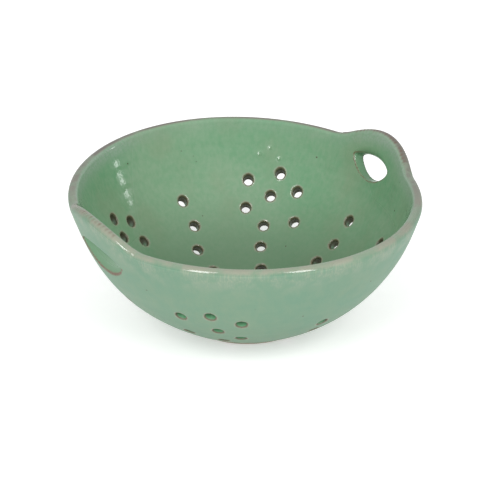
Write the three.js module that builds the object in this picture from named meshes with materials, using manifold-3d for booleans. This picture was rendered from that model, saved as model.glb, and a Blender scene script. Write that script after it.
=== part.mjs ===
// Stoneware berry bowl: a thrown bowl with drain holes, a clay strap luted over a half-moon notch
// on each side of its rim as a handle, and a low foot ring luted under its base.
// Millimetres, +Z up. The origin is the centre of the face that the foot stands on, and the two
// handles lie on the X axis. Azimuths are in degrees from +X towards +Y.

import * as THREE from 'three';
import { mergeVertices } from 'three/addons/utils/BufferGeometryUtils.js';
import Module from 'manifold-3d';

const wasm = await Module();
wasm.setup();

// Thrown bowl
const RIM_RADIUS = 90.3;       // outside of the wall at the rim, before the rim is altered
const RIM_HEIGHT = 70.5;       // top of the lip, before the rim is altered
const RIM_LEAN = 18;           // degrees that the wall leans out at the rim
const RIM_REACH = 35.8;        // length of wall that the lean at the rim governs
const BASE_RADIUS = 35.2;      // outside of the wall where it springs from the foot
const BASE_LEAN = 63;          // degrees that the wall leans out there
const BASE_REACH = 36;         // length of wall that the lean at the base governs
const WALL = 5.3;              // thickness of the wall, square to it
const FLOOR = 4.2;             // thickness of the floor
const FLOOR_FILLET = 8;        // reach of the hollow between floor and wall
const LUTE = 0.3;              // joint between luted pieces

// Rim pulled out of round by hand after throwing
const SADDLE = 0.5;            // lower at the handles, and as much higher between them
const OVAL = 1.3;              // drawn in across one way, and as much out across the other
const OVAL_AZIMUTH = -19;      // way across which the rim is drawn in
const DRIFT = 0.95;            // rim stands off to one side
const TILT = 1.5;              // and is higher on that side
const DRIFT_AZIMUTH = 140;
const FRONT_LIFT = 0.8;        // rim pulled up at the front
const FRONT_AZIMUTH = 239;
const ALTER_START = 42;        // height where the altering begins to show

// Foot ring
const FOOT_RADIUS = 34.2;      // outside of the ring at the face that it stands on
const FOOT_INSET = 0.5;        // top of the ring inside the edge of the base
const FOOT_HEIGHT = 1.6;
const FOOT_WIDTH = 6.4;        // width of the face that it stands on, with its rounded edges
const FOOT_ROUND = 0.5;        // rounding of the standing edges

// Handles: a strap that arches over a half-moon notch
const HANDLE_LENGTH = 62.2;    // root to root round the rim
const HANDLE_RISE = 9.5;       // crest above the rim
const SLOT_FALL = 3.0;         // fall of the strap's underside from the inner to the outer face
const SILL_FALL = 1.4;         // fall of the bottom of the slot
const STRAP_END = 3.0;         // blunt end of the strap at its roots

// Finger slots under the straps, cut by hand and so not alike: length round the rim, shift of the
// middle off the middle of the handle, drop of the corners below the rim, depth of the lowest point
// below the corners and rise of the highest point above them
const HANDLES = [
  { name: 'handle_strap_right', azimuth: 0, length: 29.8, shift: 2.3, drop: 7.3, depth: 10.7, rise: 3.4 },
  { name: 'handle_strap_left', azimuth: 180, length: 41.5, shift: 0, drop: 10.7, depth: 10.3, rise: 4.4 },
];

// Drain holes, punched outwards and down from inside
const HOLE_DIAMETER = 5.7;
const PUNCH_ANGLE = 57;        // degrees below level
const PETAL_RADIUS = 15;       // ring of petals about the centre of a daisy
const PETALS = 6;

// Daisies: centre, turn of the ring of petals, and what each petal strays by hand, [round, up] in mm
const DAISIES = [
  {
    azimuth: 45.3, height: 33.9, turn: -10, stem: [[47, 14], [43.3, 7]],
    strays: [[-1.5, -1.5], [1.5, -1], [-1.5, -1.5], [-1, -0.5], [-3.5, -2], [-0.5, -1]],
  },
  {
    azimuth: 129.3, height: 33, turn: 0, stem: [[130.3, 14.2], [129.3, 7]],
    strays: [[-1.5, -4], [0, -1], [-1, 0], [1, -1], [2, -1], [0.3, -4]],
  },
  {
    azimuth: 224.6, height: 31.5, turn: 0, stem: [[225.3, 13], [224.3, 7]],
    strays: [[-1.7, 1], [-1, 2.5], [-3.7, -1.5], [0, -1], [-2.7, -2], [-3.4, 4]],
  },
  {
    azimuth: 320.3, height: 33, turn: 5, stem: [[320.8, 14.2], [319.3, 7]],
    strays: [[0.5, -2], [1, -3.5], [-1, -1], [0, 0], [-1.5, 1], [1, 0.5]],
  },
];

// Plain rows of holes between the daisies, [azimuth, height], from the top down
const ROWS = [
  [[1.8, 32.6], [1.5, 21.9], [3.2, 14.2], [2, 7]],
  [[86.7, 34.6], [85.2, 23.5], [89.9, 15], [87.2, 7.5]],
  [[180.5, 33.5], [181.5, 23], [180, 14.8], [181, 7]],
  [[268.4, 31], [269, 22.5], [267.5, 14.5], [268.5, 7]],
];

// Fineness of the faceted surfaces
const BOWL_STEPS = 60;
const HOLE_STEPS = 10;
const OUTER_STEPS = 9;
const LIP_STEPS = 6;
const INNER_STEPS = 7;
const FILLET_STEPS = 3;
const SLOT_STEPS = 14;
const SEAM_STEPS = 5;
const SECTION_STEPS = 6;

const GREEN_GLAZE = 0x86b191;
const THIN_GLAZE = 0xb3ae98;
const GLOSSY = 0.15;
const SATIN = 0.5;

const radians = THREE.MathUtils.degToRad;

// Thrown shell stands on the foot ring
const underside = FOOT_HEIGHT + LUTE;
const floorTop = underside + FLOOR;

// Outer face of the wall from the foot to the rim, as [radius, height]
const rimEnd = new THREE.Vector2(RIM_RADIUS, RIM_HEIGHT);
const baseEnd = new THREE.Vector2(BASE_RADIUS, underside);
const alongLean = (lean, reach) => {
  return new THREE.Vector2(Math.sin(radians(lean)), Math.cos(radians(lean))).multiplyScalar(reach);
};
const outerCurve = new THREE.CubicBezierCurve(
  baseEnd,
  baseEnd.clone().add(alongLean(BASE_LEAN, BASE_REACH)),
  rimEnd.clone().sub(alongLean(RIM_LEAN, RIM_REACH)),
  rimEnd,
);

// Place on the outer curve at a height, found by halving
function curvePlace(height) {
  let low = 0;
  let high = 1;
  for (let i = 0; i < 40; i += 1) {
    const middle = (low + high) / 2;
    if (outerCurve.getPoint(middle).y < height) low = middle;
    else high = middle;
  }
  return low;
}

// Radius of the outer face, and its lean as radius gained per height. Above the rim it runs on straight
function outerWall(height) {
  if (height >= RIM_HEIGHT) {
    const slope = Math.tan(radians(RIM_LEAN));
    return { radius: RIM_RADIUS + (height - RIM_HEIGHT) * slope, slope };
  }
  const place = curvePlace(height);
  const tangent = outerCurve.getTangent(place);
  return { radius: outerCurve.getPoint(place).x, slope: tangent.x / tangent.y };
}

// Middle of the wall and half its level thickness
function wallAt(height) {
  const { radius, slope } = outerWall(height);
  const half = (WALL / 2) * Math.hypot(1, slope);
  return { middle: radius - half, half, slope };
}

const innerRadius = (height) => wallAt(height).middle - wallAt(height).half;

// Half the thickness of a wall that ends in a half-round lip with its top at crest
function lipHalf(height, crest) {
  const { half } = wallAt(height);
  const overCentre = Math.max(0, height - (crest - WALL / 2)) / (WALL / 2);
  return half * Math.sqrt(Math.max(0, 1 - overCentre * overCentre));
}

// Share of the altering that a height takes, rising smoothly to the rim
const alterShare = (height) => THREE.MathUtils.smoothstep(height, ALTER_START, RIM_HEIGHT);

// Point at an azimuth in radians, with the altering of the rim applied
function altered(azimuth, radius, height) {
  const share = alterShare(height);
  const aside = Math.cos(azimuth - radians(DRIFT_AZIMUTH));
  const across = Math.cos(2 * (azimuth - radians(OVAL_AZIMUTH)));
  const front = Math.max(0, Math.cos(azimuth - radians(FRONT_AZIMUTH)));
  const pulled = radius + share * (DRIFT * aside - OVAL * across);
  return new THREE.Vector3(
    pulled * Math.cos(azimuth),
    pulled * Math.sin(azimuth),
    height + share * (TILT * aside - SADDLE * Math.cos(2 * azimuth) + FRONT_LIFT * front ** 6),
  );
}

// Moves every vertex of a turned geometry by the altering of the rim
function alterGeometry(geometry) {
  const position = geometry.attributes.position;
  for (let i = 0; i < position.count; i += 1) {
    const x = position.getX(i);
    const y = position.getY(i);
    const moved = altered(Math.atan2(y, x), Math.hypot(x, y), position.getZ(i));
    position.setXYZ(i, moved.x, moved.y, moved.z);
  }
  return geometry;
}

// Solid of a closed geometry, with shared vertices merged and collapsed triangles left out
function toSolid(geometry) {
  const bare = geometry.clone();
  bare.deleteAttribute('normal');
  bare.deleteAttribute('uv');
  const merged = mergeVertices(bare, 1e-4);
  const corners = merged.index.array;
  const kept = [];
  for (let i = 0; i < corners.length; i += 3) {
    const [a, b, c] = [corners[i], corners[i + 1], corners[i + 2]];
    if (a !== b && b !== c && c !== a) kept.push(a, b, c);
  }
  return new wasm.Manifold(new wasm.Mesh({
    numProp: 3,
    vertProperties: merged.attributes.position.array,
    triVerts: new Uint32Array(kept),
  }));
}

function toGeometry(solid) {
  const mesh = solid.getMesh();
  const geometry = new THREE.BufferGeometry();
  geometry.setAttribute('position', new THREE.BufferAttribute(mesh.vertProperties, 3));
  geometry.setIndex(new THREE.BufferAttribute(mesh.triVerts, 1));
  geometry.computeVertexNormals();
  return geometry;
}

// Turned solid about Z from a profile of [radius, height] that runs up on the outside
function turned(profile, steps) {
  const geometry = new THREE.LatheGeometry(profile, steps);
  geometry.rotateX(Math.PI / 2);
  return geometry;
}

// Solid through closed sections of equal counts of points, each section running outside, top, inside
function loft(sections) {
  const count = sections[0].length;
  const last = sections.length - 1;
  const triangles = [];
  for (let s = 0; s < last; s += 1) {
    for (let i = 0; i < count; i += 1) {
      const a = s * count + i;
      const b = s * count + (i + 1) % count;
      triangles.push(a, a + count, b, b, a + count, b + count);
    }
  }
  for (let i = 1; i < count - 1; i += 1) {
    triangles.push(0, i, i + 1);
    triangles.push(last * count, last * count + i + 1, last * count + i);
  }
  const geometry = new THREE.BufferGeometry();
  geometry.setFromPoints(sections.flat());
  geometry.setIndex(triangles);
  return geometry;
}

// Handle, seen along the rim. Angles are from the middle of the handle
const rootAngle = HANDLE_LENGTH / 2 / RIM_RADIUS;
const luteAngle = LUTE / RIM_RADIUS;
const crestHeight = (angle) => RIM_HEIGHT + HANDLE_RISE * Math.cos((Math.PI / 2) * (angle / rootAngle));

// Slot of a handle, and the seams that run on from its corners up to the roots of the strap
function slotShape({ length, shift, drop, depth, rise }) {
  const half = length / 2 / RIM_RADIUS;
  const centre = shift / RIM_RADIUS;
  const corners = [centre - half, centre + half];
  const climb = drop - STRAP_END;
  const arch = (angle) => Math.max(0, 1 - ((angle - centre) / half) ** 2);
  const seamRun = (angle) => rootAngle - Math.abs(angle < centre ? corners[0] : corners[1]);
  const alongSeam = (angle) => Math.max(0, corners[0] - angle, angle - corners[1]) / seamRun(angle);
  const seamHeight = (angle) => RIM_HEIGHT - drop + climb * alongSeam(angle);
  const seamGap = (angle) => LUTE * Math.hypot(1, climb / (seamRun(angle) * RIM_RADIUS));
  return {
    corners,
    notchLow: (angle) => seamHeight(angle) - depth * arch(angle),
    notchFall: (angle) => SLOT_FALL + (SILL_FALL - SLOT_FALL) * arch(angle),
    strapLow: (angle) => seamHeight(angle) + rise * arch(angle) + seamGap(angle),
  };
}

// Height at a radius of a cut that falls outwards through the wall
function slopedCut(height, fall, radius) {
  const { middle, half } = wallAt(height);
  return height - fall * (radius - middle) / (2 * half);
}

// Angles of the sections along a handle, with one at each corner of the slot
function handleAngles(limit, [first, last]) {
  const angles = [];
  for (let i = 0; i < SEAM_STEPS; i += 1) angles.push(-limit + (first + limit) * i / SEAM_STEPS);
  for (let i = 0; i < SLOT_STEPS; i += 1) angles.push(first + (last - first) * i / SLOT_STEPS);
  for (let i = 0; i <= SEAM_STEPS; i += 1) angles.push(last + (limit - last) * i / SEAM_STEPS);
  return angles;
}

// Height where the underside of the strap comes out of one of its faces, found by repeated steps
function strapFoot(low, crest, side) {
  let height = low;
  for (let i = 0; i < 20; i += 1) {
    const radius = wallAt(height).middle + side * lipHalf(height, crest);
    height = slopedCut(low, SLOT_FALL, radius);
  }
  return height;
}

// Strap: sections of the wall from its underside up over the half-round crest
function strapGeometry(handle) {
  const azimuth = radians(handle.azimuth);
  const slot = slotShape(handle);
  const sections = handleAngles(rootAngle - luteAngle, slot.corners).map((angle) => {
    const crest = crestHeight(angle);
    const face = (side) => {
      const foot = strapFoot(slot.strapLow(angle), crest, side);
      const points = [];
      for (let i = 0; i < SECTION_STEPS; i += 1) {
        const height = foot + (crest - foot) * Math.sin((Math.PI / 2) * (i / SECTION_STEPS));
        const radius = wallAt(height).middle + side * lipHalf(height, crest);
        points.push(altered(azimuth + angle, radius, height));
      }
      return points;
    };
    const top = altered(azimuth + angle, wallAt(crest).middle, crest);
    return [...face(1), top, ...face(-1).reverse()];
  });
  return loft(sections);
}

// Cutter for the notch that the strap bridges, running past both faces of the wall and over the rim
function notchGeometry(handle) {
  const azimuth = radians(handle.azimuth);
  const slot = slotShape(handle);
  const past = WALL;
  const top = RIM_HEIGHT + HANDLE_RISE;
  const sections = handleAngles(rootAngle, slot.corners).map((angle) => {
    const low = slot.notchLow(angle);
    const fall = slot.notchFall(angle);
    const { middle, half } = wallAt(low);
    const outer = middle + half + past;
    const inner = middle - half - past;
    const over = wallAt(top).middle + half + past;
    return [
      altered(azimuth + angle, outer, slopedCut(low, fall, outer)),
      altered(azimuth + angle, over, top),
      altered(azimuth + angle, inner, top),
      altered(azimuth + angle, inner, slopedCut(low, fall, inner)),
    ];
  });
  return loft(sections);
}

// Punch for one drain hole through the wall, or straight down through the floor
function punchGeometry(place, direction) {
  const geometry = new THREE.CylinderGeometry(
    HOLE_DIAMETER / 2, HOLE_DIAMETER / 2, 4 * WALL, HOLE_STEPS,
  );
  const turn = new THREE.Quaternion().setFromUnitVectors(new THREE.Vector3(0, 1, 0), direction);
  geometry.applyQuaternion(turn);
  geometry.translate(place.x, place.y, place.z);
  return geometry;
}

function wallPunch(azimuth, height) {
  const round = radians(azimuth);
  const level = Math.cos(radians(PUNCH_ANGLE));
  const direction = new THREE.Vector3(
    level * Math.cos(round),
    level * Math.sin(round),
    -Math.sin(radians(PUNCH_ANGLE)),
  );
  const place = altered(round, innerRadius(height), height).addScaledVector(direction, WALL / 2);
  return punchGeometry(place, direction);
}

// Azimuth and height of the petals of a daisy, laid out on the inner face of the wall
function petalPlaces({ azimuth, height, turn, strays }) {
  const slope = wallAt(height).slope;
  const heightPerUp = 1 / Math.hypot(1, slope);
  return strays.map(([strayRound, strayUp], i) => {
    const angle = radians(turn + i * 360 / PETALS);
    const round = PETAL_RADIUS * Math.sin(angle) + strayRound;
    const up = PETAL_RADIUS * Math.cos(angle) + strayUp;
    const petalHeight = height + up * heightPerUp;
    return [azimuth + THREE.MathUtils.radToDeg(round / innerRadius(petalHeight)), petalHeight];
  });
}

function drainPunches() {
  const places = ROWS.flat();
  for (const daisy of DAISIES) {
    places.push([daisy.azimuth, daisy.height], ...petalPlaces(daisy), ...daisy.stem);
  }
  const punches = places.map(([azimuth, height]) => wallPunch(azimuth, height));
  const down = new THREE.Vector3(0, 0, -1);
  const floorMiddle = underside + FLOOR / 2;
  punches.push(punchGeometry(new THREE.Vector3(0, 0, floorMiddle), down));
  for (let i = 0; i < PETALS; i += 1) {
    const round = i * 2 * Math.PI / PETALS;
    const place = new THREE.Vector3(
      PETAL_RADIUS * Math.cos(round), PETAL_RADIUS * Math.sin(round), floorMiddle,
    );
    punches.push(punchGeometry(place, down));
  }
  return punches;
}

// Profile of the thrown shell: underside, outer face, half-round lip, inner face and floor
function bowlProfile() {
  const profile = [new THREE.Vector2(0, underside)];
  const lipStart = RIM_HEIGHT - WALL / 2;
  const last = curvePlace(lipStart);
  for (let i = 0; i <= OUTER_STEPS; i += 1) {
    profile.push(outerCurve.getPoint(last * i / OUTER_STEPS));
  }
  for (let i = 1; i < LIP_STEPS; i += 1) {
    const angle = Math.PI * i / LIP_STEPS;
    const height = lipStart + (WALL / 2) * Math.sin(angle);
    const side = Math.sign(Math.cos(angle)) * (i === LIP_STEPS / 2 ? 0 : 1);
    profile.push(new THREE.Vector2(wallAt(height).middle + side * lipHalf(height, RIM_HEIGHT), height));
  }
  const wallFoot = innerRadius(floorTop);
  const filletTop = floorTop + FLOOR_FILLET * Math.cos(Math.atan(wallAt(floorTop).slope));
  for (let i = 0; i <= INNER_STEPS; i += 1) {
    const height = lipStart + (filletTop - lipStart) * Math.sin((Math.PI / 2) * (i / INNER_STEPS));
    profile.push(new THREE.Vector2(innerRadius(height), height));
  }
  const fillet = new THREE.QuadraticBezierCurve(
    new THREE.Vector2(innerRadius(filletTop), filletTop),
    new THREE.Vector2(wallFoot, floorTop),
    new THREE.Vector2(wallFoot - FLOOR_FILLET, floorTop),
  );
  profile.push(...fillet.getPoints(FILLET_STEPS).slice(1));
  profile.push(new THREE.Vector2(0, floorTop));
  return profile;
}

function bowlBody() {
  let solid = toSolid(alterGeometry(turned(bowlProfile(), BOWL_STEPS)));
  const cuts = [...HANDLES.map(notchGeometry), ...drainPunches()];
  for (const cut of cuts) solid = solid.subtract(toSolid(cut));
  return toGeometry(solid);
}

// Ring under the base, with its standing edges rounded
function footRing() {
  const topOuter = BASE_RADIUS - FOOT_INSET;
  const inner = FOOT_RADIUS - FOOT_WIDTH;
  const section = new THREE.Path();
  section.moveTo(topOuter, FOOT_HEIGHT);
  section.lineTo(inner, FOOT_HEIGHT);
  section.lineTo(inner, FOOT_ROUND);
  section.quadraticCurveTo(inner, 0, inner + FOOT_ROUND, 0);
  section.lineTo(FOOT_RADIUS - FOOT_ROUND, 0);
  section.quadraticCurveTo(FOOT_RADIUS, 0, FOOT_RADIUS, FOOT_ROUND);
  section.lineTo(topOuter, FOOT_HEIGHT);
  return turned(section.getPoints(2), BOWL_STEPS);
}

function clayMesh(name, geometry, color, roughness) {
  const material = new THREE.MeshStandardMaterial({ color, roughness, metalness: 0 });
  const mesh = new THREE.Mesh(geometry, material);
  mesh.name = name;
  return mesh;
}

const berryBowl = new THREE.Group();
berryBowl.name = 'berry_bowl';
berryBowl.add(
  clayMesh('bowl_body', bowlBody(), GREEN_GLAZE, GLOSSY),
  ...HANDLES.map((handle) => clayMesh(handle.name, strapGeometry(handle), GREEN_GLAZE, GLOSSY)),
  clayMesh('foot_ring', footRing(), THIN_GLAZE, SATIN),
);

export default berryBowl;
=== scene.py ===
import math

import bmesh
import bpy
import numpy as np
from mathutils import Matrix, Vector


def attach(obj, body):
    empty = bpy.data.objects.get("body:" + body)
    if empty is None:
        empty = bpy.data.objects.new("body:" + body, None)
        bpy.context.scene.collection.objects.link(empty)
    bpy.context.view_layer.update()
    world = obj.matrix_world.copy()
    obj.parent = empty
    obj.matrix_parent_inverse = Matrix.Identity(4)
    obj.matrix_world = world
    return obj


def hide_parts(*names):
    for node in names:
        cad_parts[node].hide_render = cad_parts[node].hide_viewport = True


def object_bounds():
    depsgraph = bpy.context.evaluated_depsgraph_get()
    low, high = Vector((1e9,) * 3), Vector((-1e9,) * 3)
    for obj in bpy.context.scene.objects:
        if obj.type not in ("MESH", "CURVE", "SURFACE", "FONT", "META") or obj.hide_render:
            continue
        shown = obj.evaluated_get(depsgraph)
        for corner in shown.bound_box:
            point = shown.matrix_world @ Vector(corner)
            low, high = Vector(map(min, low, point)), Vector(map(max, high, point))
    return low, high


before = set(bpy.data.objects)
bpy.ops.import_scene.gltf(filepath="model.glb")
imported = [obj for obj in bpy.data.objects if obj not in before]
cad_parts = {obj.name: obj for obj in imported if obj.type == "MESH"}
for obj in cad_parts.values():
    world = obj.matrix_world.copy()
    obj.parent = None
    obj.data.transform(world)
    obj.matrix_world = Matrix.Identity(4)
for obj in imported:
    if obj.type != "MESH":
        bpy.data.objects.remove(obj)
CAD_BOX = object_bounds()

# Sizes of the clay, in millimetres and degrees. Azimuths run from +X towards +Y.
MM = 0.001

# Thrown bowl
RIM_RADIUS = 90.5
RIM_HEIGHT = 70.5
RIM_LEAN = 18
RIM_REACH = 35.8
BASE_RADIUS = 35.2
BASE_HEIGHT = 1.9
BASE_LEAN = 63
BASE_REACH = 36
WALL = 5.3
FLOOR = 4.2
FLOOR_FILLET = 1.9
FILLET_STEPS = 8

# Rim pulled out of round by hand after throwing
SADDLE = 0.5
OVAL = 1.3
OVAL_AZIMUTH = -19
DRIFT = 0.95
TILT = 1.5
DRIFT_AZIMUTH = 140
FRONT_LIFT = 0.8
FRONT_AZIMUTH = 239
FRONT_NARROWING = 6
ALTER_START = 42

# Traces of throwing
RING_PITCH = 8.5
RING_HEIGHT = 0.03
CROSS_PITCH = 0.61          # pitch of a second set of ridges, as a share of the first
WAVER = 0.12
WAVER_LENGTHS = (21, 13)
THROWN_FROM = (0, 15)       # lengths along the wall over which the traces set in
THROWN_FADE = 12            # and fade below the rim

# Handles, with a finger slot under each strap
HANDLE_LENGTH = 62.2
HANDLE_RISE = 9.5
ROOT_BLEND = 2.5
STRAP_FALL = 3.0            # fall of the strap's underside from the inner to the outer face
SLOT_CORNER = 0.8           # rounding where sill and strap meet
SLOT_BOW = 0.75             # power that makes the slot's edges fuller than a parabola
SLOT_SPAN = 3               # half lengths over which the slot's edges are followed
STEEPEST = 3                # steepest slope of those edges that the field allows for
BLUNT_END = 0.05            # and how near the slot's ends it is still measured
UNDER_FADE = 2              # blend between the sill's side and the strap's side of the slot
SILL_EDGE = 0.8             # rounding of the edges of the sill and of the strap
STRAP_EDGE = 3.6

# Each slot's ends lie a drop below the rim. Its sill sags by the depth and the strap bows up by the rise.
HANDLES = [
    dict(name="handle_strap_right", azimuth=0, length=28.2, taper=2.8, shift=3.2, tilt=0.2,
         drop=8.0, depth=9.2, rise=3.4, sill_fall=1.4, mark_shoulder=58, marks=(-25, 22)),
    dict(name="handle_strap_left", azimuth=180, length=38.0, taper=0, shift=-0.5, tilt=0,
         drop=10.7, depth=7.2, rise=3.4, sill_fall=8.0, mark_shoulder=78, marks=(-24, 19)),
]

# Seams of the straps, from just inside the ends of the slot to past the roots at the rim
END_BOW = 0.1
SEAM_START = 1
SEAM_PAST = 6
SEAM_MERGE = 1e-4

# Coggled marks along the inner shoulder of each strap
MARK_PITCH = 2.35
MARK_WIDTH = 0.45
MARK_LENGTH = 1.0
MARK_DEPTH = 0.14
MARK_FADE = 1

# Drain holes
HOLE_RADIUS = 2.45
HOLE_EDGE = 1.1
PUNCH_ANGLE = 57
PETAL_RADIUS = 15
PETALS = 6
PUNCH_REACH = 2.2 * WALL
DAISIES = [
    dict(azimuth=45.3, height=33.9, turn=-10, stem=[(47, 14), (43.3, 7)],
         strays=[(-1.5, -1.5), (1.5, -1), (-1.5, -1.5), (-1, -0.5), (-3.5, -2), (-0.5, -1)]),
    dict(azimuth=129.3, height=33, turn=0, stem=[(130.3, 14.2), (129.3, 7)],
         strays=[(-1.5, -4), (0, -1), (-1, 0), (1, -1), (2, -1), (0.3, -4)]),
    dict(azimuth=224.6, height=31.5, turn=0, stem=[(225.3, 13), (224.3, 7)],
         strays=[(-1.7, 1), (-1, 2.5), (-3.7, -1.5), (0, -1), (-2.7, -2), (-3.4, 4)]),
    dict(azimuth=320.3, height=33, turn=5, stem=[(320.8, 14.2), (319.3, 7)],
         strays=[(0.5, -2), (1, -3.5), (-1, -1), (0, 0), (-1.5, 1), (1, 0.5)]),
]
ROWS = [
    [(1.8, 32.6), (1.5, 21.9), (3.2, 14.2), (2, 7)],
    [(86.7, 34.6), (85.2, 23.5), (89.9, 15), (87.2, 7.5)],
    [(180.5, 33.5), (181.5, 23), (180, 14.8), (181, 7)],
    [(268.4, 31), (269, 22.5), (267.5, 14.5), (268.5, 7)],
]

# Drops of glaze that ran and stopped inside, as azimuth and height
DROPS = [(51.0, 53.3), (47.2, 56.5), (43.3, 51.5)]
DROP_SIZE = 0.8
DROP_HEIGHT = 0.3

# Foot ring
FOOT_RADIUS = 34.2
FOOT_TOP_RADIUS = 34.7
FOOT_TOP = 1.86
FOOT_INNER = 27.8
FOOT_ROUND = 0.55
FOOT_ROUND_STEPS = 5
FOOT_STEPS = 180
FOOT_SHARP = 50             # angle past which an edge of the ring is shaded as sharp
FOOT_WANDER = 0.08
FOOT_WAVES = [(3, 1, 1), (7, 0, 2), (13, 2, 3)]     # times round the ring, start, and what it is cut by

# Fineness of the surface, and of the table of the wall
GRID_STEP = 1.25
FINE_CURVATURE = 0.12       # curvature past which the mesh is made finer
COARSE_EASING = (0.5, 0.5)
FINE_EASING = (0.4, 0.4, 0.4)
PROBE = 0.5                 # reach of the steps that measure slopes
LEAST_SLOPE = 0.2
LONGEST_MOVE = 0.6
ALTER_ROUNDS = 3
LINE_STEPS = 160
ABOVE_RIM = 40              # length that the line of the wall runs on past the rim
TABLE_STEP = 0.5
TABLE_RADIUS = 110
TABLE_HEIGHTS = (-10, 100)
LAST_CELL = 1.001           # keeps a place inside the last cell of the table

# Glaze by place. Pairs are the two ends of a smooth step.
INNER_HALF = (-2, 2)        # distance inwards from the middle of the wall
AT_LIP = (2, 0)             # length below the lip
LOW_WALL_SHADE = (60, 8)          # length along the wall over which the glaze is painted darker towards the bottom, as painted shade
# Facing up or down splits the bore walls of the outer holes into painted light and painted shade
FACING_UP = (-0.3, 0.3)
SHARP_EDGE = (0.12, 0.5)    # curvature of edges that stay glossy
DROP_SHINE = (0.05, 0.4)    # share of a drop's height that shines

# Satin glaze, inside up to a level that varies round the bowl, and outside past the glossy side
SATIN_TOP = 52
SATIN_RISE = 30
SATIN_DROP = 18
SATIN_FADE = 12
SATIN_BACK = (0.45, 0.85)
SATIN_CLEAR = (0.6, 0.85)
CLEAR_AZIMUTH = 152
SATIN_OUTSIDE = 0.85
SATIN_SHOULDER = (140, 165)
GLOSS_AZIMUTH = 222
GLOSS_STOP = (0.80, 0.72)

# Thin and bare glaze at the rim, in degrees round the lip from its inner side. Towards the back the taupe
# is partly bare clay and partly painted shade.
RIM_FADE = 6                # length below the lip over which the rim's glaze fades
BACK_AZIMUTH = 56           # back side, where the taupe of the lip is strongest, partly bare clay and partly painted shade
BARE_FROM = 20
BARE_FROM_BACK = 15
BARE_SPAN = 40
BARE_SHARE = 0.6
BARE_AND_SHADE_BACK = 0.8
BARE_LOSS = 0.65
OUTER_SHOULDER = (110, 165)
CREST_INNER = (30, 60)
CREST_OUTER = (150, 110)
THIN_RIM = (0.2, 0.8)
THIN_BACK = (0.5, 0.9)
THIN_LOSS = 0.75

# Glaze at cut edges, by the distance outside the cut
LINE_START = (0.1, 0.3)
LINE_STOP = (0.75, 0.45)
HALO_START = (0.4, 0.7)
HALO_STOP = (1.6, 0.9)
# Brown in the bores is partly thin glaze over the clay and partly painted shade; green on up-facing bore
# walls is painted light
BORE_EDGE = (0.45, 0.15)
LIT_WELL_EDGE = (0.12, 0.02)
SILL_FACE = (0.3, 0.1)
SILL_SKIN = (0.7, 0.4)      # depth under the outer face
CUT_FACE = (0.12, 0.02)


def smoothstep(low, high, value):
    share = np.clip((value - low) / (high - low), 0, 1)
    return share * share * (3 - 2 * share)


def smooth_max(a, b, reach):
    """Larger of two fields, blended over a reach where they are nearly equal."""
    share = np.maximum(reach - np.abs(a - b), 0) / reach
    return np.maximum(a, b) + share * share * reach / 4


def turned_by(azimuth, middle):
    """Angle in radians from a middle azimuth in degrees, from -pi to pi."""
    angle = azimuth - math.radians(middle)
    return (angle + np.pi) % (2 * np.pi) - np.pi


def lean(angle, length):
    return length * np.array([math.sin(math.radians(angle)), math.cos(math.radians(angle))])


def wall_lines():
    """Middle line and inner line of the wall, as radius and height, from the base to above the rim."""
    base = np.array([BASE_RADIUS, BASE_HEIGHT])
    rim = np.array([RIM_RADIUS, RIM_HEIGHT])
    pulls = [base, base + lean(BASE_LEAN, BASE_REACH), rim - lean(RIM_LEAN, RIM_REACH), rim]
    t = np.linspace(0, 1, LINE_STEPS)[:, None]
    outer = (1 - t) ** 3 * pulls[0] + 3 * (1 - t) ** 2 * t * pulls[1]
    outer += 3 * (1 - t) * t ** 2 * pulls[2] + t ** 3 * pulls[3]
    run = 3 * (1 - t) ** 2 * (pulls[1] - pulls[0]) + 6 * (1 - t) * t * (pulls[2] - pulls[1])
    run += 3 * t ** 2 * (pulls[3] - pulls[2])
    run /= np.linalg.norm(run, axis=1, keepdims=True)
    inward = np.stack([-run[:, 1], run[:, 0]], axis=1)
    return outer + WALL / 2 * inward, outer + WALL * inward


MIDDLE, INNER = wall_lines()
LENGTHS = np.concatenate([[0], np.cumsum(np.linalg.norm(np.diff(MIDDLE, axis=0), axis=1))])
RIM_END = float(np.interp(RIM_HEIGHT - WALL / 2, MIDDLE[:, 1], LENGTHS))


def floor_line():
    """Middle line of the floor, from the axis to the foot of the wall."""
    level = BASE_HEIGHT + FLOOR - WALL / 2
    foot = MIDDLE[0]
    run = (MIDDLE[1] - foot) / np.linalg.norm(MIDDLE[1] - foot)
    corner = np.array([foot[0] - run[0] * (foot[1] - level) / run[1], level])
    start = corner - np.array([FLOOR_FILLET, 0])
    t = np.linspace(0, 1, FILLET_STEPS, endpoint=False)[:, None]
    fillet = (1 - t) ** 2 * start + 2 * (1 - t) * t * corner + t ** 2 * foot
    return np.vstack([[-FLOOR, level], fillet])


def wall_table():
    """Distance across the clay and length along it, over a grid of radius and height."""
    floor = floor_line()
    line = np.vstack([floor, MIDDLE, MIDDLE[-1] + lean(RIM_LEAN, ABOVE_RIM)])
    lengths = np.concatenate([np.zeros(len(floor)), LENGTHS, [LENGTHS[-1] + ABOVE_RIM]])
    radii = np.arange(0, TABLE_RADIUS, TABLE_STEP)
    heights = np.arange(*TABLE_HEIGHTS, TABLE_STEP)
    step = np.diff(line, axis=0)
    size = np.linalg.norm(step, axis=1)
    unit = step / size[:, None]
    across = np.empty((len(radii), len(heights)))
    along = np.empty_like(across)
    for i, radius in enumerate(radii):
        offset = np.stack([np.full(len(heights), radius), heights], axis=1)[:, None] - line[:-1]
        ahead = np.clip((offset * unit).sum(axis=2), 0, size)
        away = offset - ahead[:, :, None] * unit
        gap = np.linalg.norm(away, axis=2)
        best = gap.argmin(axis=1)
        rows = np.arange(len(heights))
        side = unit[best, 1] * away[rows, best, 0] - unit[best, 0] * away[rows, best, 1]
        across[i] = np.sign(side) * gap[rows, best]
        along[i] = lengths[best] + ahead[rows, best] * (best >= len(floor))
    return across, along


TABLE_ACROSS, TABLE_ALONG = wall_table()


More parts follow.
